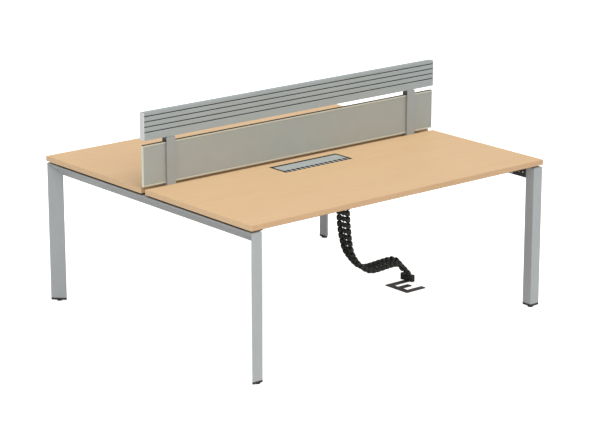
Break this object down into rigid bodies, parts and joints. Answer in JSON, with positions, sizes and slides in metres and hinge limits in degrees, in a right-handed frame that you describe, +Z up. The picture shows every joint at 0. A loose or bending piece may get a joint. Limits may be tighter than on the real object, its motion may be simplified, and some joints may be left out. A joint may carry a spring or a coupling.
{
  "type": "benching desk",
  "caption": "Back-to-back desk for two people, with triangular steel end frames, cable flaps, a low screen, a slatted accessory rail and a cable spine to the floor.",
  "frame": {"origin": "on the floor under the middle of the two tops", "axes": "+X along the screen, towards the end where the cable spine stands; +Y from the near user's side to the far one; +Z up"},
  "size_m": [1.8, 1.6, 1.1],
  "materials": {
    "silver_tube": "satin silver powder coat",
    "black_plastic": "matte",
    "foot_plastic": "matte",
    "bright_steel": "zinc plated",
    "black_steel": "fine black powder coat",
    "top_board": "satin light wood finish",
    "top_edge": "satin",
    "post_core": "matte",
    "post_silver": "satin",
    "panel_board": "matte warm grey melamine",
    "trim_metal": "satin anodised",
    "rail_metal": "satin warm grey",
    "rail_end": "satin",
    "lid_metal": "brushed anodised",
    "spine_plastic": "matte"
  },
  "bodies": {
    "bench": {"near_left_leg": "silver_tube", "near_right_leg": "silver_tube", "far_left_leg": "silver_tube", "far_right_leg": "silver_tube", "left_beam": "silver_tube", "right_beam": "silver_tube", "near_left_cap": "black_plastic", "near_right_cap": "black_plastic", "far_left_cap": "black_plastic", "far_right_cap": "black_plastic", "left_spacers": "black_plastic", "right_spacers": "black_plastic", "near_flap_frame": "black_plastic", "far_flap_frame": "black_plastic", "foot_inserts": "bright_steel", "bracket_screws": "bright_steel", "rail_screws": "bright_steel", "post_screws": "bright_steel", "tray_screws": "bright_steel", "near_hinge_pins": "bright_steel", "far_hinge_pins": "bright_steel", "near_rail": "black_steel", "centre_rail": "black_steel", "far_rail": "black_steel", "near_left_bracket": "black_steel", "near_right_bracket": "black_steel", "centre_left_bracket": "black_steel", "centre_right_bracket": "black_steel", "far_left_bracket": "black_steel", "far_right_bracket": "black_steel", "near_cable_tray": "black_steel", "far_cable_tray": "black_steel", "spine_floor_plate": "black_steel", "near_top": "top_board", "far_top": "top_board", "near_edge_band": "top_edge", "far_edge_band": "top_edge", "left_post": "post_core", "right_post": "post_core", "left_near_cover": "post_silver", "left_far_cover": "post_silver", "right_near_cover": "post_silver", "right_far_cover": "post_silver", "screen_panel": "panel_board", "panel_top_trim": "trim_metal", "panel_bottom_trim": "trim_metal", "panel_end_trims": "trim_metal", "accessory_rail": "rail_metal", "left_rail_cap": "rail_end", "right_rail_cap": "rail_end", "spine_head": "spine_plastic", "spine_links": "spine_plastic", "spine_base": "spine_plastic"},
    "near_lid": {"near_flap_lid": "lid_metal"},
    "far_lid": {"far_flap_lid": "lid_metal"},
    "near_left_leveller": {"near_left_foot": "foot_plastic"},
    "near_right_leveller": {"near_right_foot": "foot_plastic"},
    "far_left_leveller": {"far_left_foot": "foot_plastic"},
    "far_right_leveller": {"far_right_foot": "foot_plastic"}
  },
  "joints": [
    {"name": "near_flap_hinge", "type": "hinge", "parent": "bench", "child": "near_lid", "pos_m": [0, -0.081, 0.7345], "axis": [-1, 0, 0], "range_deg": [0, 105]},
    {"name": "far_flap_hinge", "type": "hinge", "parent": "bench", "child": "far_lid", "pos_m": [0, 0.081, 0.7345], "axis": [1, 0, 0], "range_deg": [0, 105]},
    {"name": "near_left_foot_screw", "type": "slide", "parent": "bench", "child": "near_left_leveller", "axis": [0, 0, -1], "range_m": [-0.0025, 0.012]},
    {"name": "near_right_foot_screw", "type": "slide", "parent": "bench", "child": "near_right_leveller", "axis": [0, 0, -1], "range_m": [-0.0025, 0.012]},
    {"name": "far_left_foot_screw", "type": "slide", "parent": "bench", "child": "far_left_leveller", "axis": [0, 0, -1], "range_m": [-0.0025, 0.012]},
    {"name": "far_right_foot_screw", "type": "slide", "parent": "bench", "child": "far_right_leveller", "axis": [0, 0, -1], "range_m": [-0.0025, 0.012]}
  ]
}
